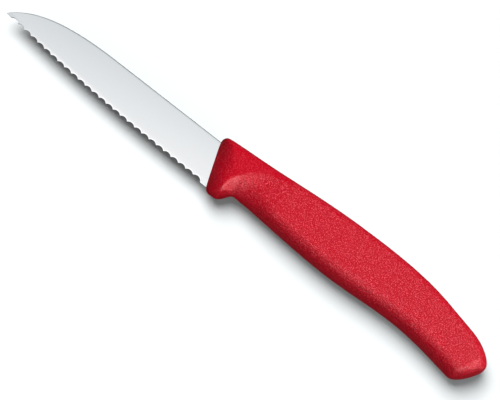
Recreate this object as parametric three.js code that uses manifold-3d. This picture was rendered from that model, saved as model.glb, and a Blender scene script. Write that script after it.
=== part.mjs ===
// Serrated paring knife: a stamped steel blade whose tang sits inside a moulded polypropylene handle.
// Millimetres. The knife lies on its side: X runs from the tip to the butt, Y from the cutting edge
// to the spine, Z up through the flats. Sizes are written about the blade: x = 0 at its tip,
// y = 0 along its straight spine, z = 0 in its middle plane.
import * as THREE from 'three';
import { mergeVertices } from 'three/addons/utils/BufferGeometryUtils.js';
import Module from 'manifold-3d';

const wasm = await Module();
wasm.setup();

// Fit between the tang and the handle moulded round it.
const CLEARANCE = 0.3;

// Blade: lengths from the tip, drops below the spine.
const BLADE_LENGTH = 80;
const BLADE_THICKNESS = 1.2;
const TIP_THICKNESS = 0.7;
const TIP_DROP = 9.3;
const HEEL_DROP = 13.1;
const HEEL_STUB = 0.5;
const EDGE_CURVE = 2.5;
const POINT_LENGTH = 36;
const POINT_ANGLE = 47;
const POINT_STEEP = 8.2;
const POINT_EASE = 20.5;
const BEVEL_HEIGHT = 1.1;
const BEVEL_THICKNESS = 0.45;
const EDGE_THICKNESS = 0.12;

// Serrations: round hollows that meet in pointed teeth, counted from the heel.
const TOOTH_PITCH = 2.892;
const TOOTH_DEPTH = 0.65;
const HEEL_PLAIN = 2.55;
const TIP_PLAIN = 1.5;

// Tang: a tapered strip behind the shoulder, with holes that the plastic flows through.
const TANG_LENGTH = 62;
const TANG_STEP = 1.6;
const TANG_WALL = 1.8;
const TANG_END = 5.6;
const TANG_HOLE = 3.8;
const FIRST_HOLE = 20;
const HOLE_SPACING = 24;
const HOLE_COUNT = 2;

// Handle: distances behind its front face, heights from the blade's spine. Its roundings leave at
// least SIDE_FLAT of flat side between them.
const HANDLE_LENGTH = 99.9;
const HANDLE_THICKNESS = 11.5;
const SPINE_ROUND = 2.8;
const BELLY_ROUND = 4.2;
const SIDE_FLAT = 0.25;
const FRONT_SPINE = 2.1;
const FRONT_BELLY = -11.05;
const NECK_AT = 13;
const NECK_SPINE = 3.25;
const NECK_BELLY = -10.85;
const SWELL_AT = 46;
const SWELL_SPINE = 5.75;
const SWELL_BELLY = -12.2;
const WAIST_TO_BUTT = 26.4;
const WAIST_SPINE = 4.95;
const WAIST_BELLY = -11.1;
const HOOK_TO_BUTT = 6.9;
const HOOK_SPINE = 0.65;
const HOOK_BELLY = -13.25;
const BUTT_SPINE = -1.5;
const BUTT_BELLY = -14.1;
const BUTT_CENTRE = -5.2;

// Front face and finger guard. The slope behind the face is longest beside the blade's middle and
// half as long SLOPE_REACH away from it. The guard thins towards its foot. Behind GUARD_CREST that
// foot rises to the belly's level, and behind NECK_FROM the belly's rounding widens from the guard's
// to the neck's, each over NECK_LENGTH.
const FRONT_THICKNESS = 3.1;
const FRONT_SLOPE = 8.4;
const SLOPE_REACH = 8.4;
const SPINE_CORNER = 2.4;
const GUARD_CORNER = 1.4;
const FRONT_LEAN = 0.41;
const LEAN_REACH = 17;
const GUARD_DROP = 3.8;
const GUARD_LENGTH = 3.2;
const GUARD_FLANK = 7.6;
const GUARD_CREST = 5.8;
const GUARD_REACH = 6.5;
const GUARD_THIN = 0.7;
const GUARD_ROUND = 1;
const NECK_FROM = 8.8;
const NECK_LENGTH = 5;
const NECK_ROUND = 6.6;

// Butt: how far in front of the end each face starts to round off, and the shares of the height and
// the thickness that are left at the very end.
const BUTT_LEAN = 0.33;
const BUTT_SPINE_ROUND = 10;
const BUTT_BELLY_ROUND = 5;
const BUTT_SIDE_ROUND = 3.4;
const BUTT_FLAT = 0.2;
const BUTT_END = 0.5;

// Finger hollow behind the guard: a scooped wall inside a round crease, deeper by HOLLOW_BELLY at the
// belly, that fades out along the grip.
const HOLLOW_AT = 21.54;
const HOLLOW_DROP = 12.6;
const HOLLOW_RADIUS = 13.74;
const HOLLOW_WALL = 5.2;
const HOLLOW_DEPTH = 1;
const HOLLOW_BELLY = 1.5;
const HOLLOW_LEVEL = 4;
const HOLLOW_SLOPE = 8.6;
const HOLLOW_FROM = 10;
const HOLLOW_TO = 26;

// Facets: per scallop, per rounding and flat of a cross-section, and along the blade and the handle.
const ARC_STEPS = 5;
const ROUND_STEPS = 8;
const SIDE_STEPS = 7;
const GRIND_STEPS = 12;
const FRONT_STATIONS = 10;
const HOLLOW_STATIONS = 18;
const GRIP_STATIONS = 10;
const BUTT_STATIONS = 9;
const MERGE_DISTANCE = 1e-4;

// How far the grinding cut runs past the tip, the spine and the edge.
const GRIND_OVERRUN = 1;

// How deep each key's ends run into the plastic beside the slot.
const KEY_ROOT = 0.6;

const HALF_THICKNESS = HANDLE_THICKNESS / 2;
const FRONT_DROP = 1 - FRONT_THICKNESS / HANDLE_THICKNESS;
const MIDDLE_DROP = HEEL_DROP / 2;
const LAST_TOOTH = BLADE_LENGTH + FRONT_LEAN * MIDDLE_DROP - HEEL_PLAIN;
const TANG_TOP = -TANG_STEP;
const TANG_BOTTOM = NECK_BELLY + TANG_WALL + CLEARANCE;
const TANG_AXIS = (TANG_TOP + TANG_BOTTOM) / 2;
const SLOT_THICKNESS = BLADE_THICKNESS + 2 * CLEARANCE;
const HOLE_PLACES = Array.from(
  { length: HOLE_COUNT },
  (_, i) => BLADE_LENGTH + FIRST_HOLE + i * HOLE_SPACING,
);

const ease = (u) => THREE.MathUtils.smoothstep(u, 0, 1);

// Quarter ellipse that rises from `flat` at its start to 1 at `reach`.
function roundOff(distance, reach, flat = 0) {
  const left = Math.max(0, 1 - distance / reach);
  return Math.sqrt(1 - (1 - flat * flat) * left * left);
}

// Solid between rings of equally many points, closed by a flat cap at each end. The rings follow
// each other along X, and each runs from Y towards Z.
function loft(rings) {
  const count = rings[0].length;
  const positions = rings.flat().flatMap((p) => [p.x, p.y, p.z]);
  const index = [];
  for (let r = 0; r + 1 < rings.length; r++) {
    for (let k = 0; k < count; k++) {
      const a = r * count + k;
      const b = r * count + (k + 1) % count;
      index.push(a, b, b + count, a, b + count, a + count);
    }
  }
  const flat = (ring) => ring.map((p) => new THREE.Vector2(p.y, p.z));
  const cap = (ring) => THREE.ShapeUtils.triangulateShape(flat(ring), []);
  const last = (rings.length - 1) * count;
  cap(rings[0]).forEach(([a, b, c]) => index.push(a, c, b));
  cap(rings.at(-1)).forEach(([a, b, c]) => index.push(last + a, last + b, last + c));
  const geometry = new THREE.BufferGeometry();
  geometry.setAttribute('position', new THREE.Float32BufferAttribute(positions, 3));
  geometry.setIndex(index);
  return geometry;
}

// Plate of a plan outline, centred on the blade's middle plane.
function plate(shape, thickness) {
  const geometry = new THREE.ExtrudeGeometry(shape, {
    depth: thickness, bevelEnabled: false, curveSegments: 2 * ROUND_STEPS,
  });
  return geometry.translate(0, 0, -thickness / 2);
}

function toSolid(geometry) {
  geometry.deleteAttribute('normal');
  geometry.deleteAttribute('uv');
  const merged = mergeVertices(geometry, MERGE_DISTANCE);
  return new wasm.Manifold(new wasm.Mesh({
    numProp: 3,
    vertProperties: new Float32Array(merged.attributes.position.array),
    triVerts: new Uint32Array(merged.index.array),
  }));
}

function toGeometry(solid) {
  const mesh = solid.getMesh();
  const geometry = new THREE.BufferGeometry();
  geometry.setAttribute('position', new THREE.BufferAttribute(mesh.vertProperties, 3));
  geometry.setIndex(new THREE.BufferAttribute(mesh.triVerts, 1));
  return geometry;
}

// Front face of the handle: the line leans towards the tip at the spine.
const frontAt = (y) => BLADE_LENGTH - FRONT_LEAN * (y + MIDDLE_DROP);

// Line through the tooth points: it falls from the tip and levels out at the heel.
function edgeAt(x) {
  const left = Math.max(0, 1 - x / LAST_TOOTH);
  return -HEEL_DROP + (HEEL_DROP - TIP_DROP) * left ** EDGE_CURVE;
}

// Round hollow between two teeth, cut TOOTH_DEPTH into the blade.
function scallop(shape, from, to) {
  const chord = to.clone().sub(from);
  const radius = (chord.lengthSq() / 4 + TOOTH_DEPTH ** 2) / (2 * TOOTH_DEPTH);
  const inward = new THREE.Vector2(-chord.y, chord.x).normalize();
  const centre = from.clone().lerp(to, 0.5).addScaledVector(inward, TOOTH_DEPTH - radius);
  const start = from.clone().sub(centre);
  const sweep = 2 * Math.asin(chord.length() / 2 / radius);
  for (let i = 1; i < ARC_STEPS; i++) {
    const point = start.clone().rotateAround(new THREE.Vector2(), -sweep * i / ARC_STEPS).add(centre);
    shape.lineTo(point.x, point.y);
  }
  shape.lineTo(to.x, to.y);
}

// Tang's plan, grown by `extra`: its root lines and its end. It lies TANG_STEP below the spine and
// leaves TANG_WALL of plastic above the handle's belly at the neck.
function tangPlan(extra) {
  return {
    low: TANG_BOTTOM - extra,
    high: TANG_TOP + extra,
    end: BLADE_LENGTH + TANG_LENGTH + extra,
    endLow: TANG_AXIS - TANG_END / 2 - extra,
    endHigh: TANG_AXIS + TANG_END / 2 + extra,
  };
}

function bladeShape() {
  const shoulder = (y) => frontAt(y) - CLEARANCE;
  const { low, high, end, endLow, endHigh } = tangPlan(0);
  const shape = new THREE.Shape();
  shape.moveTo(0, -TIP_DROP);
  const teeth = Math.floor((LAST_TOOTH - TIP_PLAIN) / TOOTH_PITCH);
  let from = null;
  for (let k = teeth; k >= 0; k--) {
    const x = LAST_TOOTH - k * TOOTH_PITCH;
    const tooth = new THREE.Vector2(x, edgeAt(x));
    if (from) scallop(shape, from, tooth);
    else shape.lineTo(tooth.x, tooth.y);
    from = tooth;
  }
  const stub = -HEEL_DROP - HEEL_STUB;
  shape.lineTo(LAST_TOOTH, stub);
  shape.lineTo(shoulder(stub), stub);
  shape.lineTo(shoulder(low), low);
  shape.lineTo(end, endLow);
  shape.lineTo(end, endHigh);
  shape.lineTo(shoulder(high), high);
  shape.lineTo(shoulder(0), 0);
  shape.lineTo(POINT_LENGTH, 0);
  const angle = THREE.MathUtils.degToRad(POINT_ANGLE);
  shape.bezierCurveTo(
    POINT_LENGTH - POINT_EASE, 0,
    POINT_STEEP * Math.cos(angle), -TIP_DROP + POINT_STEEP * Math.sin(angle),
    0, -TIP_DROP,
  );
  for (const x of HOLE_PLACES) {
    const hole = new THREE.Path();
    hole.absarc(x, TANG_AXIS, TANG_HOLE / 2, 0, 2 * Math.PI, true);
    shape.holes.push(hole);
  }
  return shape;
}

// What the grinding wheel takes off one flat: a taper from the spine down to the bevel, then the bevel.
function grindCut(side) {
  const rings = [];
  for (let i = 0; i <= GRIND_STEPS; i++) {
    const x = THREE.MathUtils.lerp(-GRIND_OVERRUN, BLADE_LENGTH, i / GRIND_STEPS);
    const share = THREE.MathUtils.clamp(x / BLADE_LENGTH, 0, 1);
    const spine = THREE.MathUtils.lerp(TIP_THICKNESS, BLADE_THICKNESS, share) / 2;
    const edge = edgeAt(x);
    const below = edge - GRIND_OVERRUN;
    const profile = [
      [GRIND_OVERRUN, spine],
      [0, spine],
      [edge + BEVEL_HEIGHT, BEVEL_THICKNESS / 2],
      [edge, EDGE_THICKNESS / 2],
      [below, EDGE_THICKNESS / 2],
      [below, BLADE_THICKNESS],
      [GRIND_OVERRUN, BLADE_THICKNESS],
    ];
    const lean = FRONT_LEAN * share;
    const ring = profile.map(([y, z]) => new THREE.Vector3(x - lean * (y + MIDDLE_DROP), y, z * side));
    rings.push(side > 0 ? ring.reverse() : ring);
  }
  return loft(rings);
}

function bladeGeometry() {
  const blank = toSolid(plate(bladeShape(), BLADE_THICKNESS));
  return toGeometry(blank.subtract(toSolid(grindCut(1))).subtract(toSolid(grindCut(-1))));
}

// Spine and belly lines of the handle, smooth through the named stations.
const handleLines = new THREE.CubicInterpolant(
  [0, NECK_AT, SWELL_AT, HANDLE_LENGTH - WAIST_TO_BUTT, HANDLE_LENGTH - HOOK_TO_BUTT, HANDLE_LENGTH],
  [
    FRONT_SPINE, FRONT_BELLY,
    NECK_SPINE, NECK_BELLY,
    SWELL_SPINE, SWELL_BELLY,
    WAIST_SPINE, WAIST_BELLY,
    HOOK_SPINE, HOOK_BELLY,
    BUTT_SPINE, BUTT_BELLY,
  ],
  2,
);

// How far along the finger hollow's fade a place behind the front face is.
const pastHollow = (behind) => ease((behind - HOLLOW_FROM) / (HOLLOW_TO - HOLLOW_FROM));

// Depth of the finger hollow at a point of the handle's flat.
function hollowAt(x, y) {
  const behind = x - BLADE_LENGTH;
  const inside = HOLLOW_RADIUS - Math.hypot(behind - HOLLOW_AT, y + HOLLOW_DROP);
  const wallLeft = 1 - THREE.MathUtils.clamp(inside / HOLLOW_WALL, 0, 1);
  const deepen = ease((-HOLLOW_LEVEL - y) / HOLLOW_SLOPE);
  return (HOLLOW_DEPTH + HOLLOW_BELLY * deepen) * (1 - wallLeft ** 2) * (1 - pastHollow(behind));
}

// Cross-section of the handle `at` millimetres behind its front face, as a ring of points.
function handleRing(at) {
  const toButt = HANDLE_LENGTH - at;
  const [spineLine, bellyLine] = handleLines.evaluate(at);
  const cornerOff = (radius) => radius * (1 - roundOff(at, radius));
  const behindGuard = ease((at - NECK_FROM) / NECK_LENGTH);
  const guard = GUARD_DROP * (1 - ease((at - GUARD_LENGTH) / GUARD_FLANK));
  const footLevel = FRONT_BELLY - GUARD_DROP * (1 - ease((at - GUARD_CREST) / NECK_LENGTH));
  const atButt = (reach) => roundOff(toButt, reach, BUTT_FLAT);
  const toCentre = (line, reach) => THREE.MathUtils.lerp(BUTT_CENTRE, line, atButt(reach));
  const spine = toCentre(spineLine - cornerOff(SPINE_CORNER), BUTT_SPINE_ROUND);
  const belly = toCentre(bellyLine - guard + cornerOff(GUARD_CORNER), BUTT_BELLY_ROUND);
  const half = HALF_THICKNESS * roundOff(toButt, BUTT_SIDE_ROUND, BUTT_END);
  const room = (spine - belly - SIDE_FLAT) / 2;
  const gripRound = THREE.MathUtils.lerp(NECK_ROUND, BELLY_ROUND, pastHollow(at));
  const highRound = Math.min(SPINE_ROUND, room);
  const lowRound = Math.min(THREE.MathUtils.lerp(GUARD_ROUND, gripRound, behindGuard), room);
  const lean = FRONT_LEAN * (1 - ease(at / LEAN_REACH)) - BUTT_LEAN * (1 - ease(toButt / LEAN_REACH));

  // Share of the thickness that the front slope, the guard's foot and the hollow leave at a height.
  const thicknessLeft = (x, y) => {
    const slopeLength = FRONT_SLOPE / (1 + ((y + MIDDLE_DROP) / SLOPE_REACH) ** 2);
    const slope = 1 - FRONT_DROP * Math.max(0, 1 - at / slopeLength) ** 2;
    const toFoot = THREE.MathUtils.clamp(1 - (y - footLevel) / GUARD_REACH, 0, 1);
    const foot = 1 - GUARD_THIN * (1 - behindGuard) * toFoot ** 2;
    return slope * foot * (1 - hollowAt(x, y) / HALF_THICKNESS);
  };

  const section = [];
  const addRound = (sign, crest, round) => {
    for (let i = 0; i <= ROUND_STEPS; i++) {
      const turn = Math.PI * i / ROUND_STEPS;
      section.push([crest + sign * round * Math.sin(turn), -sign * half * Math.cos(turn)]);
    }
  };
  const addSide = (from, to, z) => {
    for (let i = 1; i < SIDE_STEPS; i++) {
      section.push([THREE.MathUtils.lerp(from, to, i / SIDE_STEPS), z]);
    }
  };
  addRound(-1, belly + lowRound, lowRound);
  addSide(belly + lowRound, spine - highRound, -half);
  addRound(1, spine - highRound, highRound);
  addSide(spine - highRound, belly + lowRound, half);
  return section.map(([y, z]) => {
    const x = BLADE_LENGTH + at - lean * (y + MIDDLE_DROP);
    return new THREE.Vector3(x, y, z * thicknessLeft(x, y));
  });
}

// Places of the cross-sections: close together where the front, the hollow and the butt turn.
function handleStations() {
  const buttStart = HANDLE_LENGTH - BUTT_SPINE_ROUND;
  const places = [];
  const spread = (from, to, count, bend) => {
    for (let i = 0; i < count; i++) places.push(THREE.MathUtils.lerp(from, to, bend(i / count)));
  };
  spread(0, FRONT_SLOPE, FRONT_STATIONS, (u) => u * u);
  spread(FRONT_SLOPE, HOLLOW_AT, HOLLOW_STATIONS, (u) => u);
  spread(HOLLOW_AT, buttStart, GRIP_STATIONS, (u) => u);
  spread(buttStart, HANDLE_LENGTH, BUTT_STATIONS, (u) => u * (2 - u));
  places.push(HANDLE_LENGTH);
  return places;
}

// Slot for the tang, open at the front face.
function socketGeometry() {
  const { low, high, end, endLow, endHigh } = tangPlan(CLEARANCE);
  const mouth = (y) => frontAt(y) - FRONT_SLOPE;
  const shape = new THREE.Shape();
  shape.moveTo(mouth(low), low);
  shape.lineTo(frontAt(low), low);
  shape.lineTo(end, endLow);
  shape.lineTo(end, endHigh);
  shape.lineTo(frontAt(high), high);
  shape.lineTo(mouth(high), high);
  return plate(shape, SLOT_THICKNESS);
}

// Plastic that fills a hole of the tang and ties both halves of the handle together.
function keyGeometry(x) {
  const radius = TANG_HOLE / 2 - CLEARANCE;
  const height = SLOT_THICKNESS + 2 * KEY_ROOT;
  const key = new THREE.CylinderGeometry(radius, radius, height, 2 * ROUND_STEPS);
  return key.rotateX(Math.PI / 2).translate(x, TANG_AXIS, 0);
}

function handleGeometry() {
  let handle = toSolid(loft(handleStations().map(handleRing))).subtract(toSolid(socketGeometry()));
  for (const x of HOLE_PLACES) handle = handle.add(toSolid(keyGeometry(x)));
  return toGeometry(handle);
}

const steel = new THREE.MeshStandardMaterial({ color: 0xd6dce0, roughness: 0.3, metalness: 1 });
const polypropylene = new THREE.MeshStandardMaterial({ color: 0xcd2d39, roughness: 0.5, metalness: 0 });

function named(name, geometry, material) {
  const mesh = new THREE.Mesh(geometry, material);
  mesh.name = name;
  return mesh;
}

const knife = new THREE.Group();
knife.add(named('blade', bladeGeometry(), steel));
knife.add(named('handle', handleGeometry(), polypropylene));

// Origin: under the middle of the knife, on the surface that the handle's flat rests on.
const box = new THREE.Box3().setFromObject(knife);
const middle = box.getCenter(new THREE.Vector3());
knife.position.set(-middle.x, -middle.y, -box.min.z);

export default knife;
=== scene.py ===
"""Serrated paring knife: a stamped steel blade with a red handle moulded round its tang.

Lengths are metres. Shapes are laid out as a cutler draws them: x runs from the blade's tip to the
butt, y is the height over the straight spine, so the edge is negative, and z is the distance from
the middle plane. in_row_frame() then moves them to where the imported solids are.
"""

import math

import bpy
import numpy as np
from bpy.props import FloatProperty, FloatVectorProperty, PointerProperty
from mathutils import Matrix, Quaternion, Vector


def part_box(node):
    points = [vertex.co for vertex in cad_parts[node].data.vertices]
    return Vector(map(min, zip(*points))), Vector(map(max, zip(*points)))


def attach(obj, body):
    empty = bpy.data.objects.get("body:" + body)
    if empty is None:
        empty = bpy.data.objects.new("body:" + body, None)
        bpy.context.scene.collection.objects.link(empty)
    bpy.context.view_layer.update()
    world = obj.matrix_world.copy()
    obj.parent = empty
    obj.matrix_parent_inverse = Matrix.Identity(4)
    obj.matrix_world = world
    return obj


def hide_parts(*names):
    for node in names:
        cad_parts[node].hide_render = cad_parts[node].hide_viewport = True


bl_info = {
    "name": "Serrated paring knife",
    "version": (1, 0, 0),
    "blender": (4, 5, 0),
    "location": "3D View > Sidebar > Knife",
    "description": "Builds a serrated paring knife over its solids, with table, lights and camera",
    "category": "Add Mesh",
}

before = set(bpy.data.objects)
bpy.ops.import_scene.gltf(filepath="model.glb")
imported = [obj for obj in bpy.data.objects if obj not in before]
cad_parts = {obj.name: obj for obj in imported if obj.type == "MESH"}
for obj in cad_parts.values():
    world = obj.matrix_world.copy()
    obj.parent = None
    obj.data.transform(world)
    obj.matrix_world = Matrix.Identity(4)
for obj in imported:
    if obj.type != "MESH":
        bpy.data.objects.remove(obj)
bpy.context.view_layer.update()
BLADE_LOW, BLADE_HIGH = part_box("blade")
HANDLE_LOW, HANDLE_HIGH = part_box("handle")
BLADE_PIECE = "blade_visual"
HANDLE_PIECE = "handle_visual"

MM = 0.001

# Where the layout's tip, straight spine and middle plane lie in the frame.
LAYOUT_ORIGIN = (BLADE_LOW.x, BLADE_HIGH.y, (HANDLE_LOW.z + HANDLE_HIGH.z) / 2)
HALF_THICKNESS = (HANDLE_HIGH.z - HANDLE_LOW.z) / 2
TANG_END_X = BLADE_HIGH.x - BLADE_LOW.x

# Handle: distance behind the front face, spine height and belly height.
HANDLE_STATIONS = np.array([
    (0.0, 2.1, -11.05),
    (13.0, 3.25, -10.85),
    (46.0, 5.75, -12.2),
    (73.5, 4.95, -11.1),
    (93.0, 0.65, -13.25),
    (99.9, -1.5, -14.1),
]) * MM

# Room in reflections: cosine of the angle from the soft box's middle, and the colour there as a share
# of box_glow.
ROOM_STOPS = (
    (0.0, "#46494B"),
    (0.3, "#75797B"),
    (0.46, "#CFD6D8"),
    (0.5, "#DCE1E3"),
    (0.55, "#ECEDEE"),
    (0.585, "#F6F7F8"),
    (0.7, "#FDFDFD"),
)

# Levels that most of a noise texture lies between.
NOISE_LOW = 0.3
NOISE_HIGH = 0.7

# Rows and columns of the grids.
TIP_COLUMNS = 14
ARC_COLUMNS = 16
HEEL_COLUMNS = 10
TANG_COLUMNS = 24
RIM_ROWS = 4
FACE_ROWS = 24
CORNER_ROWS = 6
ROUND_ROWS = 56
SIDE_ROWS = 44
FRONT_RINGS = 40
HOLLOW_RINGS = 110
GRIP_RINGS = 90
BUTT_RINGS = 44

# Power by which the first columns crowd towards the tip, points that the spine's curve is worked out
# at, and share of a pitch by which rounding may put a column in front of its tooth.
TIP_CROWDING = 1.5
CURVE_POINTS = 400
TOOTH_SLACK = 1e-6

# Most that the rim and the spine's corners take where the blade is narrow: shares of its height, and
# of half its thickness.
RIM_LIMIT = 0.3
CORNER_LIMIT = 0.2
CORNER_DEPTH_LIMIT = 0.7

# Power by which the rim's painted highlight falls off, and turn from which the blade's edges are shaded
# sharp.
RIM_FALL = 4
SHARP_TURN = math.radians(30)


def length(name, millimetres, description):
    """Length property whose default is given in millimetres."""
    return FloatProperty(
        name=name,
        description=description,
        default=millimetres * MM,
        precision=5,
        subtype="DISTANCE",
        unit="LENGTH",
    )


def angle(name, degrees, description):
    """Angle property whose default is given in degrees."""
    return FloatProperty(
        name=name,
        description=description,
        default=math.radians(degrees),
        subtype="ANGLE",
        unit="ROTATION",
    )


def number(name, default, description, unit="NONE"):
    """Property for a share, a slope, a level or a strength."""
    return FloatProperty(name=name, description=description, default=default, precision=3, unit=unit)


def linear(hex_colour):
    """Linear colour of an sRGB hex value: each channel through the sRGB transfer curve."""
    srgb = np.array([int(hex_colour[i:i + 2], 16) for i in (1, 3, 5)]) / 255
    curve = ((srgb + 0.055) / 1.055) ** 2.4
    return tuple(float(c) for c in np.where(srgb <= 0.04045, srgb / 12.92, curve))


def colour(name, hex_colour, description):
    """Colour property whose default is given as an sRGB hex value."""
    return FloatVectorProperty(
        name=name,
        description=description,
        default=linear(hex_colour),
        size=3,
        min=0,
        max=1,
        subtype="COLOR",
    )


class KnifeBladeSettings(bpy.types.PropertyGroup):
    """Sizes, finish and colours of the blade."""

    blade_length: length("Blade length", 80, "From the tip to the middle of the handle's front face")
    thickness: length("Thickness", 1.2, "Stamped sheet at the spine, by the handle")
    tip_thickness: length("Tip thickness", 0.7, "Spine's thickness at the tip")
    tip_drop: length("Tip drop", 9.3, "How far the tip lies below the straight spine")
    heel_drop: length("Heel drop", 13.1, "How far the last tooth lies below the spine")
    edge_curve: number("Edge curve", 2.5, "Power by which the edge levels out from the tip to the heel")
    heel_stub: length("Heel stub", 0.5, "How far the plain heel stands below the last tooth")
    heel_step: length("Heel step", 0.25, "Length over which the edge drops to the plain heel")
    heel_plain: length("Plain heel", 2.55, "Edge without teeth in front of the handle")
    tip_plain: length("Plain tip", 1.5, "Least edge without teeth behind the tip")
    point_length: length("Point length", 36, "Where the spine starts to fall to the tip")
    point_ease: length("Point ease", 20.5, "How long the spine stays level in that curve")
    point_steep: length("Point steepness", 8.2, "How long the spine keeps its slope at the tip")
    point_angle: angle("Point angle", 47, "Slope of the spine at the tip")
    tooth_pitch: length("Tooth pitch", 2.892, "From tooth to tooth")
    tooth_depth: length("Tooth depth", 0.65, "Depth of the round hollow between two teeth")
    bevel_height: length("Bevel height", 1.1, "Height of the edge bevel over the tooth points")
    bevel_thickness: length("Bevel thickness", 0.45, "Thickness at the top of the bevel")
    edge_thickness: length("Edge thickness", 0.12, "Thickness at the tooth points before sharpening")
    # The rim strip is coloured near white: a painted highlight for the light that its edge catches.
    rim_width: length("Rim width", 0.34, "Bright strip that the serrating wheel leaves round each hollow")
    rim_fade: length("Rim fade", 30, "Length over which bevel and strip come up behind the tip")
    rim_share: number("Rim share", 0.8, "Share of the thickness that is left at the sharp edge")
    spine_corner: length("Spine corner", 0.22, "Radius of the spine's two corners")
    seat: length("Seat", 1.2, "How far the blade's full height runs into the handle")
    tang_slope: length("Tang slope", 1, "Length over which the blade narrows to the tang")
    tang_drop: length("Tang drop", 1.6, "How far the tang lies below the spine at its root")
    tang_height: length("Tang height", 7.15, "Height of the tang at its root")
    tang_end: length("Tang end", 5.6, "Height of the tang at its end")
    grind_end: length("Grinding end", 2, "Length over which the grinding runs out inside the handle")
    grind_line: length("Grinding line", 0.14, "Spacing of the fine lines across the flats")
    grind_stretch: number("Line stretch", 50, "Length of a grinding line over its spacing")
    grind_depth: length("Grinding depth", 0.001, "Depth of the grinding lines")
    least_roughness: number("Least roughness", 0.19, "Roughness of the smoothest grinding lines")
    most_roughness: number("Most roughness", 0.22, "Roughness of the dullest grinding lines")
    steel: colour("Steel", "#DEDFE0", "Ground flats")
    # Painted highlight: colour of the rim round each hollow.
    glint_rim: colour("Rim", "#F6F7F8", "Freshly ground rim of the hollows")


class KnifeHandleSettings(bpy.types.PropertyGroup):
    """Sizes, finish and colours of the handle."""

    spine_round: length("Spine rounding", 2.8, "How far the spine's rounding reaches onto the flats")
    belly_round: length("Belly rounding", 4.2, "How far the belly's rounding reaches onto the flats")
    guard_round: length("Guard rounding", 1, "How far the guard's rounding reaches onto the flats")
    neck_round: length("Neck rounding", 6.6, "How far the belly's rounding reaches behind the guard")
    neck_from: length("Neck start", 8.8, "Where the belly's rounding starts to widen behind the guard")
    neck_length: length("Neck length", 5, "Length over which it widens")
    side_flat: length("Least flat", 0.25, "Flat that is always left between the roundings")
    front_thickness: length("Front thickness", 3.1, "Thickness of the front face round the blade")
    front_slope: length("Front slope", 8.4, "Length over which the handle swells to its full thickness")
    slope_reach: length("Slope reach", 8.4, "Distance from the blade's middle where that length is half")
    front_lean: number("Front lean", 0.41, "Slope of the front face towards the tip at the spine")
    lean_reach: length("Lean reach", 17, "Distance over which the cross-sections turn upright")
    spine_corner: length("Front spine corner", 2.4, "Corner of the front face at the spine")
    guard_corner: length("Guard corner", 1.4, "Corner of the front face at the guard")
    guard_drop: length("Guard drop", 3.8, "How far the finger guard stands below the belly")
    guard_length: length("Guard length", 3.2, "Length of the guard's foot")
    guard_flank: length("Guard flank", 7.6, "Length of the slope behind the guard")
    guard_crest: length("Guard crest", 5.8, "Where the guard's thin foot starts to follow the belly up")
    guard_reach: length("Guard reach", 6.5, "How far above its foot the guard starts to thin")
    guard_thin: number("Guard thinning", 0.7, "Share of the thickness that the guard loses at its foot")
    butt_lean: number("Butt lean", 0.33, "Slope of the butt's end face")
    butt_spine_round: length("Butt spine rounding", 10, "Where the spine starts to round off to the butt")
    butt_belly_round: length("Butt belly rounding", 5, "Where the belly starts to round off to the butt")
    butt_side_round: length("Butt side rounding", 3.4, "Where the flats start to round off to the butt")
    butt_centre: length("Butt centre", -5.2, "Height of the middle of the butt's end")
    butt_flat: number("Butt flat", 0.2, "Share of the height that is left at the very end")
    butt_end: number("Butt end", 0.5, "Share of the thickness that is left at the very end")
    hollow_at: length("Hollow place", 21.54, "Finger hollow's centre behind the front face")
    hollow_drop: length("Hollow drop", 12.6, "Finger hollow's centre below the spine")
    hollow_radius: length("Hollow radius", 13.74, "Radius of the crease round the finger hollow")
    crease_round: length("Crease rounding", 0.4, "How far the crease is softened on either side")
    hollow_wall: length("Hollow wall", 5.2, "Width of the finger hollow's wall")
    hollow_depth: length("Hollow depth", 1, "Depth of the finger hollow below its wall")
    hollow_belly: length("Hollow at the belly", 1.5, "How much deeper the finger hollow is by the belly")
    hollow_level: length("Hollow level", 4, "How far below the spine the finger hollow starts to deepen")
    hollow_slope: length("Hollow slope", 8.6, "Height over which it deepens")
    hollow_from: length("Hollow start", 10, "Where the finger hollow starts to fade, behind the front face")
    hollow_to: length("Hollow end", 26, "Where the finger hollow has faded out")
    # The grain's strength sets its relief and roughness, and how much sheen is painted on its tops.
    grain_fade: length("Grain fade", 2, "Length over which the grain comes up behind the crease")
    grain_least: number("Least grain", 0.45, "Share of the grain that is left on the smooth front")
    # The roundings' crests also lack that share of the painted sheen, so they stay deep red.
    round_loss: number("Rounding loss", 0.55, "Share of the grain that the crests of the roundings lack")
    grain_size: length("Grain size", 0.33, "Distance between the grain's bumps")
    grain_height: length("Grain height", 0.22, "Height of the grain's bumps")
    # The bumps' tops carry a painted sheen; these levels set where it starts and where it is full.
    tops_from: number("Tops from", 0.52, "Level of the bumps where their pale tops start")
    tops_full: number("Tops full", 0.64, "Level of the bumps where their tops are palest")
    front_roughness: number("Front roughness", 0.28, "Roughness of the smooth front")
    grip_roughness: number("Grip roughness", 0.4, "Roughness of the fully grained grip")
    refraction: number("Refraction", 1.49, "Refractive index of polypropylene")
    sheen: number("Sheen", 0.07, "Specular level that the fine grain leaves")
    plastic: colour("Plastic", "#C6021E", "Body colour of the moulding")
    # Painted sheen: pale colour of the grain's tops.
    painted_sheen: colour("Grain light", "#F2505E", "Pale tops of the grain")


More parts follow.
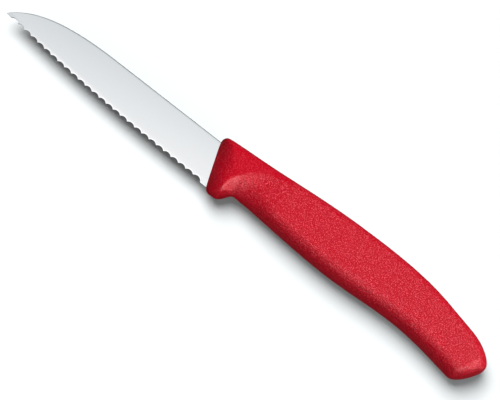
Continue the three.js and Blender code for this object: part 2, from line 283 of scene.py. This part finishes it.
class KnifeStageSettings(bpy.types.PropertyGroup):
    """Camera, lights and table."""

    view_azimuth: angle("View azimuth", 39.4, "Direction that the camera stands in, 0 on the -Y side")
    view_elevation: angle("View elevation", 72, "Height of the camera over the horizon")
    view_roll: angle("View roll", 0.11, "Turn of the picture about its middle")
    view_distance: length("View distance", 620, "From the camera to the point it looks at")
    view_x: length("View X", 5.16, "Point that the camera looks at")
    view_y: length("View Y", -3.94, "Point that the camera looks at")
    lens: number("Lens", 150.5, "Focal length on a 36 mm sensor, in millimetres", unit="CAMERA")
    clip_start: length("Clip start", 10, "Least distance that the camera shows")
    key_azimuth: angle("Key azimuth", 129.5, "Direction of the knife's main light, as for the camera")
    key_elevation: angle("Key elevation", 53.6, "Height of that light over the horizon")
    key_spread: angle("Key spread", 45, "How wide that light looks from the knife")
    key_strength: number("Key strength", 3.1, "That light, in watts per square metre")
    glint_azimuth: angle("Glint azimuth", 62, "Direction that the sheen of hollow and butt comes from")
    glint_elevation: angle("Glint elevation", 34, "Height of that light over the horizon")
    glint_spread: angle("Glint spread", 76, "How wide that light looks from the knife")
    glint_strength: number("Glint strength", 20, "That light, in watts per square metre")
    gleam_azimuth: angle("Gleam azimuth", 89, "Direction that the sheen of the flats comes from")
    gleam_elevation: angle("Gleam elevation", 46, "Height of that light over the horizon")
    gleam_distance: length("Gleam distance", 190, "From the knife's middle to that light")
    gleam_size: length("Gleam size", 130, "Diameter of that light")
    gleam_power: number("Gleam power", 0.4, "That light, in watts", unit="POWER")
    fill_azimuth: angle("Fill azimuth", 5, "Direction of the knife's low fill light, as for the camera")
    fill_elevation: angle("Fill elevation", 12, "Height of that light over the horizon")
    fill_spread: angle("Fill spread", 60, "How wide that light looks from the knife")
    fill_strength: number("Fill strength", 0.5, "That light, in watts per square metre")
    top_azimuth: angle("Top azimuth", -131, "Direction of the light that casts the shadow on the table")
    top_elevation: angle("Top elevation", 66, "Height of that light over the horizon")
    top_spread: angle("Top spread", 46, "How wide that light looks from the table")
    top_strength: number("Top strength", 5.95, "That light, in watts per square metre")
    wash_azimuth: angle("Wash azimuth", 15, "Direction of the low light that thins that shadow")
    wash_elevation: angle("Wash elevation", 20, "Height of that light over the horizon")
    wash_spread: angle("Wash spread", 60, "How wide that light looks from the table")
    wash_strength: number("Wash strength", 0.85, "That light, in watts per square metre")
    ambient: number("Ambient", 0.2, "Even light from the pale room")
    box_azimuth: angle("Soft box azimuth", 41.5, "Direction of the soft box in reflections")
    box_elevation: angle("Soft box elevation", 53, "Height of the soft box in reflections")
    box_glow: number("Soft box glow", 1.3, "Brightness of the soft box in reflections")
    table_size: length("Table size", 4000, "Side of the square card")
    table: colour("Table", "#BFC2C3", "Cool white card, as the camera sees it")
    table_bounce: number("Table bounce", 0.14, "Share of light that the card throws back")
    table_mirrored: number("Table mirrored", 0.04, "Share of light that the card shows in reflections")


def in_row_frame(x, y, z):
    """Layout points as one array, moved by the place of the tip, the spine and the middle plane."""
    return np.stack(np.broadcast_arrays(x, y, z), axis=-1) + LAYOUT_ORIGIN


def ease(share):
    """Smooth step: 3u^2 - 2u^3 of the share, held between 0 and 1."""
    share = np.clip(share, 0, 1)
    return share * share * (3 - 2 * share)


def mix(start, end, share):
    """Straight line from start to end."""
    return start + (end - start) * share


def round_off(distance, reach, flat=0.0):
    """Quarter ellipse that rises from flat at distance 0 to 1 at reach."""
    left = np.clip(1 - distance / reach, 0, None)
    return np.sqrt(1 - (1 - flat * flat) * left * left)


def corner_loss(distance, radius):
    """Height that a round corner takes off at a distance behind the face: its radius, then nothing."""
    return radius * (1 - round_off(distance, radius))


def smooth_line(at, places, heights):
    """Cubic Hermite curve through the stations: each tangent is the mean of the slopes beside it."""
    slopes = np.diff(heights) / np.diff(places)
    tangents = np.concatenate([slopes[:1], (slopes[:-1] + slopes[1:]) / 2, slopes[-1:]])
    i = np.clip(np.searchsorted(places, at, side="right") - 1, 0, len(slopes) - 1)
    step = places[i + 1] - places[i]
    u = (at - places[i]) / step
    ends = heights[i] * (1 + 2 * u) * (1 - u) ** 2 + heights[i + 1] * u ** 2 * (3 - 2 * u)
    return ends + step * (tangents[i] * u * (1 - u) ** 2 + tangents[i + 1] * u ** 2 * (u - 1))


def front_face_x(y, blade, lean):
    """Place of the handle's front face at height y: it leans about the middle of the blade's height."""
    return blade.blade_length - lean * (y + blade.heel_drop / 2)


def skin(name, rings, start, end):
    """Closed mesh through rings of points: quads join each ring to the next, and triangles close the
    first and last ring to the points start and end. Rings follow +X and turn from +Y to -Z."""
    rows, count = rings.shape[:2]
    here = np.arange(rows * count).reshape(rows, count)
    beside = np.roll(here, -1, axis=1)
    first = np.full(count, rows * count)
    quads = np.stack([here[:-1], here[1:], beside[1:], beside[:-1]], axis=-1).reshape(-1, 4)
    start_fan = np.stack([here[0], beside[0], first], axis=-1)
    end_fan = np.stack([beside[-1], here[-1], first + 1], axis=-1)
    points = np.concatenate([rings.reshape(-1, 3), [start, end]])
    mesh = bpy.data.meshes.new(name)
    mesh.from_pydata(points.tolist(), [], [*quads.tolist(), *start_fan.tolist(), *end_fan.tolist()])
    mesh.polygons.foreach_set("use_smooth", np.ones(len(mesh.polygons), bool))
    return mesh


def paint(mesh, name, values):
    """Point attribute of the rings' values; the two end points take the mean of their ring."""
    attribute = mesh.attributes.new(name, "FLOAT", "POINT")
    every = np.concatenate([values.ravel(), [values[0].mean(), values[-1].mean()]])
    attribute.data.foreach_set("value", every.astype(np.float32))


def place(mesh, node, material):
    """Object that stands for a CAD node: it rides on the one body, and the node is hidden."""
    piece = bpy.data.objects.new(mesh.name, mesh)
    bpy.context.scene.collection.objects.link(piece)
    mesh.materials.append(material)
    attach(piece, "root")
    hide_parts(node)
    return piece


def add_node(tree, kind, inputs=None, **settings):
    """Node of a tree with its settings; an input is a value, or a socket to link from.

    Inputs go by name, or by number where the node has several of one name.
    """
    node = tree.nodes.new(kind)
    for name, value in settings.items():
        setattr(node, name, value)
    for name, value in (inputs or {}).items():
        if isinstance(value, bpy.types.NodeSocket):
            tree.links.new(value, node.inputs[name])
        else:
            node.inputs[name].default_value = value
    return node


def new_tree(datablock):
    """Emptied node tree of a material or world."""
    datablock.use_nodes = True
    datablock.node_tree.nodes.clear()
    return datablock.node_tree


def opaque(rgb):
    """Colour with full alpha, as node sockets take it."""
    return (*rgb, 1.0)


# Blade

def tooth_line(x, s, last):
    """Height of the tooth points: it falls from the tip as (1 - x / last)^edge_curve and levels out."""
    left = np.clip(1 - x / last, 0, None)
    return -s.heel_drop + (s.heel_drop - s.tip_drop) * left ** s.edge_curve


def spine_line(x, s):
    """Height of the spine: level, then a cubic Bezier curve down to the tip."""
    t = np.linspace(0, 1, CURVE_POINTS)
    rise = s.point_steep * math.sin(s.point_angle)
    steep = (s.point_steep * math.cos(s.point_angle), rise - s.tip_drop)
    controls = ((0, -s.tip_drop), steep, (s.point_length - s.point_ease, 0), (s.point_length, 0))
    weights = ((1 - t) ** 3, 3 * t * (1 - t) ** 2, 3 * t * t * (1 - t), t ** 3)
    curve_x = sum(w * c[0] for w, c in zip(weights, controls))
    curve_y = sum(w * c[1] for w, c in zip(weights, controls))
    return np.interp(x, curve_x, curve_y)


def blade_lines(s, lean):
    """Columns of the blade with their lower and upper outline and the line of the tooth points.

    Between two teeth the lower outline is a circular arc of height tooth_depth over their chord.
    Behind the last tooth it drops to the plain heel. Inside the handle both lines step to the tang.
    """
    last = front_face_x(-s.heel_drop, s, lean) - s.heel_plain
    teeth = int((last - s.tip_plain) / s.tooth_pitch)
    first = last - teeth * s.tooth_pitch
    stub = -s.heel_drop - s.heel_stub
    stub_x = front_face_x(stub, s, lean) + s.seat
    top_x = front_face_x(0, s, lean) + s.seat
    tang_low = -s.tang_drop - s.tang_height
    tang_middle = (tang_low - s.tang_drop) / 2
    low_x = np.array([last + s.heel_step, stub_x, stub_x + s.tang_slope, TANG_END_X])
    low_y = np.array([stub, stub, tang_low, tang_middle - s.tang_end / 2])
    high_x = np.array([top_x, top_x + s.tang_slope, TANG_END_X])
    high_y = np.array([0, -s.tang_drop, tang_middle + s.tang_end / 2])

    tip = first * np.linspace(0, 1, TIP_COLUMNS + 1)[1:-1] ** TIP_CROWDING
    scallops = first + s.tooth_pitch * np.arange(teeth * ARC_COLUMNS + 1) / ARC_COLUMNS
    heel = np.linspace(low_x[0], low_x[2], HEEL_COLUMNS)
    tang = np.linspace(low_x[2], TANG_END_X, TANG_COLUMNS)
    x = np.unique(np.concatenate([tip, scallops, heel, tang, low_x, high_x]))

    tooth = np.clip(np.floor((x - first) / s.tooth_pitch + TOOTH_SLACK), 0, teeth - 1)
    share = np.clip((x - first) / s.tooth_pitch - tooth, 0, 1)
    from_x = first + tooth * s.tooth_pitch
    chord = mix(tooth_line(from_x, s, last), tooth_line(from_x + s.tooth_pitch, s, last), share)
    radius = (s.tooth_pitch ** 2 / 4 + s.tooth_depth ** 2) / (2 * s.tooth_depth)
    arc = np.sqrt(radius ** 2 - (s.tooth_pitch * (share - 0.5)) ** 2) - (radius - s.tooth_depth)
    plain = mix(-s.tip_drop, tooth_line(first, s, last), x / first)
    low = np.where(x < first, plain, chord + arc)
    low = np.where(x > last, np.interp(x, low_x, low_y), low)
    high = np.where(x < top_x, spine_line(x, s), np.interp(x, high_x, high_y))
    return x, low, high, tooth_line(x, s, last)


def blade_surface(s, lean):
    """Rings of the blade and how much painted highlight each point of the rim takes.

    Half the thickness at a height is the bevel's up to bevel_height over the tooth line, and from
    there swells to the spine's as u (2 - u), u being the share of the way up. The rim follows the
    lower outline and closes to the sharp edge, and a quarter ellipse rounds each corner of the spine.
    Bevel, rim and the rim's painted highlight come up over rim_fade behind the tip, and the grinding
    runs out inside the handle.
    """
    x, low, high, teeth = (values[:, None] for values in blade_lines(s, lean))
    spine_half = mix(s.tip_thickness, s.thickness, np.clip(x / s.blade_length, 0, 1)) / 2
    bevel_top = teeth + s.bevel_height
    ground = ease(x / s.rim_fade)
    edge_half = mix(s.bevel_thickness, s.edge_thickness, ground) / 2

    def half_at(y):
        """Half the thickness at height y."""
        up = np.clip((y - bevel_top) / -bevel_top, 0, 1)
        face = mix(s.bevel_thickness / 2, spine_half, up * (2 - up))
        bevel = mix(edge_half, s.bevel_thickness / 2, np.clip((y - teeth) / s.bevel_height, 0, 1))
        return np.where(y < bevel_top, bevel, face)

    height = high - low
    glint_rim = np.minimum(s.rim_width, RIM_LIMIT * height)
    corner = np.minimum(s.spine_corner, CORNER_LIMIT * height)
    up_rim = np.linspace(0, 1, RIM_ROWS + 1)
    up_face = np.linspace(0, 1, FACE_ROWS + 1)[1:]
    turn = np.linspace(0, np.pi / 2, CORNER_ROWS + 1)[1:]
    face_y = mix(low + glint_rim, high - corner, up_face)
    corner_half = half_at(high - corner)
    corner_depth = np.minimum(corner, CORNER_DEPTH_LIMIT * corner_half)
    y = np.hstack([low + glint_rim * up_rim, face_y, high - corner + corner * np.sin(turn)])
    z = np.hstack([
        mix(mix(1, s.rim_share, ground) * half_at(low), half_at(low + glint_rim), up_rim),
        half_at(face_y),
        corner_half - corner_depth * (1 - np.cos(turn)),
    ])
    z = mix(z, s.thickness / 2, ease((x - s.blade_length - s.heel_plain) / s.grind_end))
    # Painted highlight: brightest at the sharp edge, falling off across the rim, none on the faces or
    # corners.
    painted_glint = ground * np.hstack([1 - up_rim ** RIM_FALL, np.zeros(FACE_ROWS + CORNER_ROWS)])
    y, painted_glint = (np.hstack([side, side[:, ::-1]]) for side in (y, painted_glint))
    z = np.hstack([z, -z[:, ::-1]])
    return in_row_frame(x, y, z), painted_glint


def fine_ground_steel(s):
    """Stainless steel, stamped, ground and polished across the blade.

    To the eye: a pale cool mirror, blurred, that carries the room's broad gradient, with hair-fine lines
    from spine to edge and a white highlight painted onto the rim where the serrating wheel cut. The real
    lines are under 0.1 mm, so they are drawn coarser here to show at all.
    """
    material = bpy.data.materials.new("stainless_steel_fine_ground")
    tree = new_tree(material)
    where = add_node(tree, "ShaderNodeTexCoord")
    across = 1 / s.grind_line
    along = across / s.grind_stretch
    stretch = add_node(tree, "ShaderNodeMapping", {
        "Vector": where.outputs["Object"], "Scale": (across, along, along),
    })
    lines = add_node(tree, "ShaderNodeTexNoise", {
        "Vector": stretch.outputs["Vector"], "Scale": 1.0, "Detail": 3.0, "Roughness": 0.6,
    })
    ground = add_node(tree, "ShaderNodeAttribute", attribute_name="ground")
    # Painted highlight: the rim's near-white colour is mixed in by the painted highlight's share.
    tint = add_node(tree, "ShaderNodeMix", {
        "Factor": ground.outputs["Fac"], "A": opaque(s.steel), "B": opaque(s.glint_rim),
    }, data_type="RGBA")
    gloss = add_node(tree, "ShaderNodeMapRange", {
        "Value": lines.outputs["Fac"],
        "From Min": NOISE_LOW,
        "From Max": NOISE_HIGH,
        "To Min": s.least_roughness,
        "To Max": s.most_roughness,
    })
    relief = add_node(tree, "ShaderNodeBump", {
        "Height": lines.outputs["Fac"], "Strength": 0.1, "Distance": s.grind_depth,
    })
    shader = add_node(tree, "ShaderNodeBsdfPrincipled", {
        "Base Color": tint.outputs["Result"],
        "Metallic": 1.0,
        "Roughness": gloss.outputs["Result"],
        "Normal": relief.outputs["Normal"],
    })
    add_node(tree, "ShaderNodeOutputMaterial", {"Surface": shader.outputs["BSDF"]})
    return material


class KNIFE_OT_make_blade(bpy.types.Operator):
    """Make the serrated blade with its tang"""

    bl_idname = "knife.make_blade"
    bl_label = "Make blade"

    def execute(self, context):
        s = context.scene.knife_blade
        rings, ground = blade_surface(s, context.scene.knife_handle.front_lean)
        tip = in_row_frame(0, -s.tip_drop, 0)
        mesh = skin(BLADE_PIECE, rings, tip, rings[-1].mean(axis=0))
        mesh.set_sharp_from_angle(angle=SHARP_TURN)
        # The rim's painted highlight is kept as a point attribute for the material.
        paint(mesh, "ground", ground)
        place(mesh, "blade", fine_ground_steel(s))
        return {"FINISHED"}


# Handle

def handle_places(s, end):
    """Places of the handle's rings: close together where the front, the hollow and the butt turn."""
    front = s.front_slope * np.linspace(0, 1, FRONT_RINGS, endpoint=False) ** 2
    hollow = np.linspace(s.front_slope, s.hollow_at, HOLLOW_RINGS, endpoint=False)
    grip = np.linspace(s.hollow_at, end - s.butt_spine_round, GRIP_RINGS, endpoint=False)
    butt = np.linspace(0, 1, BUTT_RINGS)
    return np.concatenate([front, hollow, grip, end - s.butt_spine_round * (1 - butt) ** 2])


def past_hollow(behind, s):
    """How far along the finger hollow's fade a place behind the front face is."""
    return ease((behind - s.hollow_from) / (s.hollow_to - s.hollow_from))


def handle_rows(s):
    """Values of the handle's cross-sections, each as a column.

    They are the place behind the front face, the heights of spine and belly, half the thickness, the
    lean, the reach of the belly's rounding, and the guard's thinning and the level of its foot. Spine
    and belly follow the stations less the front's round corners, and the belly also drops by the guard.
    Quarter ellipses close the heights and the thickness at the butt. The other values ease from what
    they are at the front and the guard to what they are at the grip and the butt.
    """
    places, spine_heights, belly_heights = HANDLE_STATIONS.T
    end = places[-1]
    at = handle_places(s, end)
    to_butt = end - at
    guard = s.guard_drop * (1 - ease((at - s.guard_length) / s.guard_flank))
    spine = smooth_line(at, places, spine_heights) - corner_loss(at, s.spine_corner)
    belly = smooth_line(at, places, belly_heights) + corner_loss(at, s.guard_corner) - guard
    spine = mix(s.butt_centre, spine, round_off(to_butt, s.butt_spine_round, s.butt_flat))
    belly = mix(s.butt_centre, belly, round_off(to_butt, s.butt_belly_round, s.butt_flat))
    half = HALF_THICKNESS * round_off(to_butt, s.butt_side_round, s.butt_end)
    lean = s.front_lean * (1 - ease(at / s.lean_reach)) - s.butt_lean * (1 - ease(to_butt / s.lean_reach))
    behind_guard = ease((at - s.neck_from) / s.neck_length)
    grip_round = mix(s.neck_round, s.belly_round, past_hollow(at, s))
    low_round = mix(s.guard_round, grip_round, behind_guard)
    thinning = s.guard_thin * (1 - behind_guard)
    foot = belly_heights[0] - s.guard_drop * (1 - ease((at - s.guard_crest) / s.neck_length))
    return (values[:, None] for values in (at, spine, belly, half, lean, low_round, thinning, foot))


def hollow_depth_at(behind, y, s):
    """Depth of the finger hollow: a scooped wall in a round crease, deeper by the belly, fading along x.

    The wall falls as 1 - (1 - u)^2, u being the share of its width inside the crease. To soften the
    crease, the distance d inside it is taken as (d + hypot(d, crease_round)) / 2.
    """
    inside = s.hollow_radius - np.hypot(behind - s.hollow_at, y + s.hollow_drop)
    inside = (inside + np.hypot(inside, s.crease_round)) / 2
    wall = 1 - (1 - np.clip(inside / s.hollow_wall, 0, 1)) ** 2
    deepen = ease((-s.hollow_level - y) / s.hollow_slope)
    return (s.hollow_depth + s.hollow_belly * deepen) * wall * (1 - past_hollow(behind, s))


def grain_at(behind, y, s):
    """Strength of the grain and of the sheen painted on its tops: least on the front, and full from
    grain_fade behind the crease's front half.

    That half lies half a chord of the crease's circle in front of the hollow's centre.
    """
    half_chord = np.sqrt(np.clip(s.hollow_radius ** 2 - (y + s.hollow_drop) ** 2, 0, None))
    return mix(s.grain_least, 1, ease((behind - s.hollow_at + half_chord) / s.grain_fade))


def handle_surface(s, blade):
    """Rings of the handle and how strong the grain, and the sheen painted on its tops, are at each point.

    Each cross-section has two flat sides between half ellipses at the spine and the belly. The front
    slope, which is longest beside the blade's middle, takes off its share of the thickness by the
    square of the way that is left to its end. So does the guard, towards the level of its foot. The
    The finger hollow thins the section by its depth, and the roundings have less grain, and less painted
    sheen, than the flats.
    """
    at, spine, belly, half, lean, low_round, thinning, foot = handle_rows(s)
    room = (spine - belly - s.side_flat) / 2
    high_round = np.minimum(s.spine_round, room)
    low_round = np.minimum(low_round, room)
    low = belly + low_round
    high = spine - high_round
    turn = np.linspace(0, np.pi, ROUND_ROWS)
    share = np.linspace(0, 1, SIDE_ROWS + 2)[1:-1]
    ones = np.ones_like(share)
    y = np.hstack([
        mix(low, high, share),
        high + high_round * np.sin(turn),
        mix(high, low, share),
        low - low_round * np.sin(turn),
    ])
    x = at + front_face_x(y, blade, lean)
    behind = x - blade.blade_length
    front_drop = 1 - s.front_thickness / (2 * HALF_THICKNESS)
    slope_length = s.front_slope / (1 + ((y + blade.heel_drop / 2) / s.slope_reach) ** 2)
    slope = 1 - front_drop * np.clip(1 - at / slope_length, 0, None) ** 2
    guard = 1 - thinning * np.clip(1 - (y - foot) / s.guard_reach, 0, 1) ** 2
    hollow = 1 - hollow_depth_at(behind, y, s) / HALF_THICKNESS
    z = half * slope * guard * hollow * np.hstack([ones, np.cos(turn), -ones, -np.cos(turn)])
    rounding = np.hstack([0 * ones, np.sin(turn), 0 * ones, np.sin(turn)])
    # Less grain on the roundings, and less of the sheen painted on its tops, so the roundings stay deep
    # red.
    grain = grain_at(behind, y, s) * (1 - s.round_loss * rounding)
    return in_row_frame(x, y, z), grain


def spark_grained_plastic(s):
    """Polypropylene, moulded in a spark-eroded tool.

    To the eye: a saturated, slightly waxy red. The grip's fine pebble grain dulls the light, with a sheen
    painted as a sparse speckle of pale tops, and the front, with less grain, keeps a softer, deeper sheen.
    """
    material = bpy.data.materials.new("polypropylene_spark_grained")
    tree = new_tree(material)
    where = add_node(tree, "ShaderNodeTexCoord")
    pebble = add_node(tree, "ShaderNodeTexNoise", {
        "Vector": where.outputs["Object"], "Scale": 1 / s.grain_size, "Detail": 2.0, "Roughness": 0.55,
    })
    grain = add_node(tree, "ShaderNodeAttribute", attribute_name="grain")
    # Painted sheen: the pebble's tops are coloured pale where the grain is full, for the light they catch.
    tops = add_node(tree, "ShaderNodeMapRange", {
        "Value": pebble.outputs["Fac"], "From Min": s.tops_from, "From Max": s.tops_full,
    })
    pale = add_node(tree, "ShaderNodeMath", {
        0: tops.outputs["Result"], 1: grain.outputs["Fac"],
    }, operation="MULTIPLY")
    tint = add_node(tree, "ShaderNodeMix", {
        "Factor": pale.outputs["Value"], "A": opaque(s.plastic), "B": opaque(s.painted_sheen),
    }, data_type="RGBA")
    gloss = add_node(tree, "ShaderNodeMapRange", {
        "Value": grain.outputs["Fac"],
        "From Min": s.grain_least,
        "To Min": s.front_roughness,
        "To Max": s.grip_roughness,
    })
    relief = add_node(tree, "ShaderNodeMath", {
        0: pebble.outputs["Fac"], 1: grain.outputs["Fac"],
    }, operation="MULTIPLY")
    bump = add_node(tree, "ShaderNodeBump", {
        "Height": relief.outputs["Value"], "Strength": 1.0, "Distance": s.grain_height,
    })
    shader = add_node(tree, "ShaderNodeBsdfPrincipled", {
        "Base Color": tint.outputs["Result"],
        "Roughness": gloss.outputs["Result"],
        "IOR": s.refraction,
        "Specular IOR Level": s.sheen,
        "Normal": bump.outputs["Normal"],
    })
    add_node(tree, "ShaderNodeOutputMaterial", {"Surface": shader.outputs["BSDF"]})
    return material


class KNIFE_OT_make_handle(bpy.types.Operator):
    """Make the moulded handle"""

    bl_idname = "knife.make_handle"
    bl_label = "Make handle"

    def execute(self, context):
        s = context.scene.knife_handle
        rings, grain = handle_surface(s, context.scene.knife_blade)
        mesh = skin(HANDLE_PIECE, rings, rings[0].mean(axis=0), rings[-1].mean(axis=0))
        paint(mesh, "grain", grain)
        piece = place(mesh, "handle", spark_grained_plastic(s))
        # Light that bounces off the table doesn't meet the handle, so its red doesn't tint the shadow.
        piece.visible_diffuse = False
        return {"FINISHED"}


# Stage

def direction(azimuth, elevation):
    """Unit vector towards a place seen at that azimuth and elevation; azimuth 0 lies on the -Y side."""
    level = math.cos(elevation)
    return Vector((math.sin(azimuth) * level, -math.cos(azimuth) * level, math.sin(elevation)))


def matt_white_card(s):
    """White card, uncoated: dull and even. The camera sees it as plain white, and it throws back less."""
    material = bpy.data.materials.new("white_card_matt")
    tree = new_tree(material)
    path = add_node(tree, "ShaderNodeLightPath")
    unseen = add_node(tree, "ShaderNodeMix", {
        "Factor": path.outputs["Is Glossy Ray"],
        "A": opaque([s.table_bounce] * 3),
        "B": opaque([s.table_mirrored] * 3),
    }, data_type="RGBA")
    tint = add_node(tree, "ShaderNodeMix", {
        "Factor": path.outputs["Is Camera Ray"], "A": unseen.outputs["Result"], "B": opaque(s.table),
    }, data_type="RGBA")
    shader = add_node(tree, "ShaderNodeBsdfDiffuse", {"Color": tint.outputs["Result"]})
    add_node(tree, "ShaderNodeOutputMaterial", {"Surface": shader.outputs["BSDF"]})
    return material


def make_table(s):
    """Flat square of white card under the knife."""
    half = s.table_size / 2
    mesh = bpy.data.meshes.new("table")
    corners = [(-half, -half, 0), (half, -half, 0), (half, half, 0), (-half, half, 0)]
    mesh.from_pydata(corners, [], [(0, 1, 2, 3)])
    mesh.materials.append(matt_white_card(s))
    table = bpy.data.objects.new("table", mesh)
    bpy.context.scene.collection.objects.link(table)
    return table


def make_room(s):
    """Pale room: an even ambient light, and in reflections a soft box that fades to dull walls."""
    world = bpy.data.worlds.new("pale_room")
    tree = new_tree(world)
    where = add_node(tree, "ShaderNodeTexCoord")
    nearness = add_node(tree, "ShaderNodeVectorMath", {
        0: where.outputs["Generated"], 1: direction(s.box_azimuth, s.box_elevation),
    }, operation="DOT_PRODUCT")
    seen = add_node(tree, "ShaderNodeValToRGB", {"Fac": nearness.outputs["Value"]})
    ramp = seen.color_ramp
    while len(ramp.elements) < len(ROOM_STOPS):
        ramp.elements.new(1.0)
    for element, (stop, hex_colour) in zip(ramp.elements, ROOM_STOPS):
        element.position = stop
        element.color = opaque(linear(hex_colour))
    path = add_node(tree, "ShaderNodeLightPath")
    around = add_node(tree, "ShaderNodeBackground", {"Strength": s.ambient})
    mirrored = add_node(tree, "ShaderNodeBackground", {
        "Color": seen.outputs["Color"], "Strength": s.box_glow,
    })
    either = add_node(tree, "ShaderNodeMixShader", {
        0: path.outputs["Is Glossy Ray"],
        1: around.outputs["Background"],
        2: mirrored.outputs["Background"],
    })
    add_node(tree, "ShaderNodeOutputWorld", {"Surface": either.outputs["Shader"]})
    bpy.context.scene.world = world


def add_light(lamp, towards, lit, sheen):
    """Light object that shines from a direction and falls on the listed objects only.

    It gives either the sheen alone or all but the sheen.
    """
    light = bpy.data.objects.new(lamp.name, lamp)
    light.rotation_mode = "QUATERNION"
    light.rotation_quaternion = towards.to_track_quat("Z", "Y")
    light.visible_glossy = sheen
    light.visible_diffuse = not sheen
    receivers = bpy.data.collections.new(f"lit_by_{lamp.name}")
    for piece in lit:
        receivers.objects.link(piece)
    light.light_linking.receiver_collection = receivers
    bpy.context.scene.collection.objects.link(light)
    return light


def make_light(s, name, lit, sheen=False):
    """Broad soft light from far away, set by the four stage settings that start with its name."""
    lamp = bpy.data.lights.new(name, "SUN")
    lamp.energy = getattr(s, f"{name}_strength")
    lamp.angle = getattr(s, f"{name}_spread")
    towards = direction(getattr(s, f"{name}_azimuth"), getattr(s, f"{name}_elevation"))
    add_light(lamp, towards, lit, sheen)


def make_near_light(s, lit):
    """Round soft box so near that its sheen changes along the knife."""
    lamp = bpy.data.lights.new("gleam", "AREA")
    lamp.shape = "DISK"
    lamp.size = s.gleam_size
    lamp.energy = s.gleam_power
    towards = direction(s.gleam_azimuth, s.gleam_elevation)
    add_light(lamp, towards, lit, sheen=True).location = towards * s.gleam_distance


def make_camera(s):
    """Camera at the view's angles, aimed at a point of the knife's middle plane and rolled."""
    back = direction(s.view_azimuth, s.view_elevation)
    data = bpy.data.cameras.new("camera")
    data.lens = s.lens
    data.clip_start = s.clip_start
    camera = bpy.data.objects.new("camera", data)
    camera.location = Vector((s.view_x, s.view_y, HALF_THICKNESS)) + back * s.view_distance
    camera.rotation_mode = "QUATERNION"
    camera.rotation_quaternion = (-back).to_track_quat("-Z", "Y") @ Quaternion((0, 0, 1), s.view_roll)
    bpy.context.scene.collection.objects.link(camera)
    bpy.context.scene.camera = camera


class KNIFE_OT_make_stage(bpy.types.Operator):
    """Make the table, the lights and the camera"""

    bl_idname = "knife.make_stage"
    bl_label = "Make stage"

    def execute(self, context):
        s = context.scene.knife_stage
        blade = context.scene.objects[BLADE_PIECE]
        handle = context.scene.objects[HANDLE_PIECE]
        table = make_table(s)
        make_room(s)
        make_light(s, "key", [blade, handle])
        make_light(s, "glint", [handle], sheen=True)
        make_near_light(s, [handle])
        make_light(s, "fill", [blade, handle])
        make_light(s, "top", [table])
        make_light(s, "wash", [table])
        make_camera(s)
        context.scene.view_settings.view_transform = "Standard"
        return {"FINISHED"}


class KNIFE_PT_pieces(bpy.types.Panel):
    """Knife's pieces and stage in the sidebar"""

    bl_idname = "KNIFE_PT_pieces"
    bl_label = "Serrated paring knife"
    bl_space_type = "VIEW_3D"
    bl_region_type = "UI"
    bl_category = "Knife"

    def draw(self, context):
        for operator, settings in PANEL_ROWS:
            box = self.layout.box()
            box.operator(operator.bl_idname)
            group = getattr(context.scene, settings)
            for name in group.bl_rna.properties.keys():
                if name not in bpy.types.PropertyGroup.bl_rna.properties:
                    box.prop(group, name)


PANEL_ROWS = (
    (KNIFE_OT_make_blade, "knife_blade"),
    (KNIFE_OT_make_handle, "knife_handle"),
    (KNIFE_OT_make_stage, "knife_stage"),
)
SETTINGS = {
    "knife_blade": KnifeBladeSettings,
    "knife_handle": KnifeHandleSettings,
    "knife_stage": KnifeStageSettings,
}
CLASSES = (
    *SETTINGS.values(),
    KNIFE_OT_make_blade,
    KNIFE_OT_make_handle,
    KNIFE_OT_make_stage,
    KNIFE_PT_pieces,
)


def register():
    """Adds the classes, and the three groups of settings to the scene."""
    for cls in CLASSES:
        bpy.utils.register_class(cls)
    for name, group in SETTINGS.items():
        setattr(bpy.types.Scene, name, PointerProperty(type=group))


def unregister():
    """Takes the settings and the classes away again."""
    for name in SETTINGS:
        delattr(bpy.types.Scene, name)
    for cls in reversed(CLASSES):
        bpy.utils.unregister_class(cls)


def main():
    """Builds the knife and its stage."""
    register()
    bpy.ops.knife.make_blade()
    bpy.ops.knife.make_handle()
    bpy.ops.knife.make_stage()


if __name__ == "__main__":
    main()
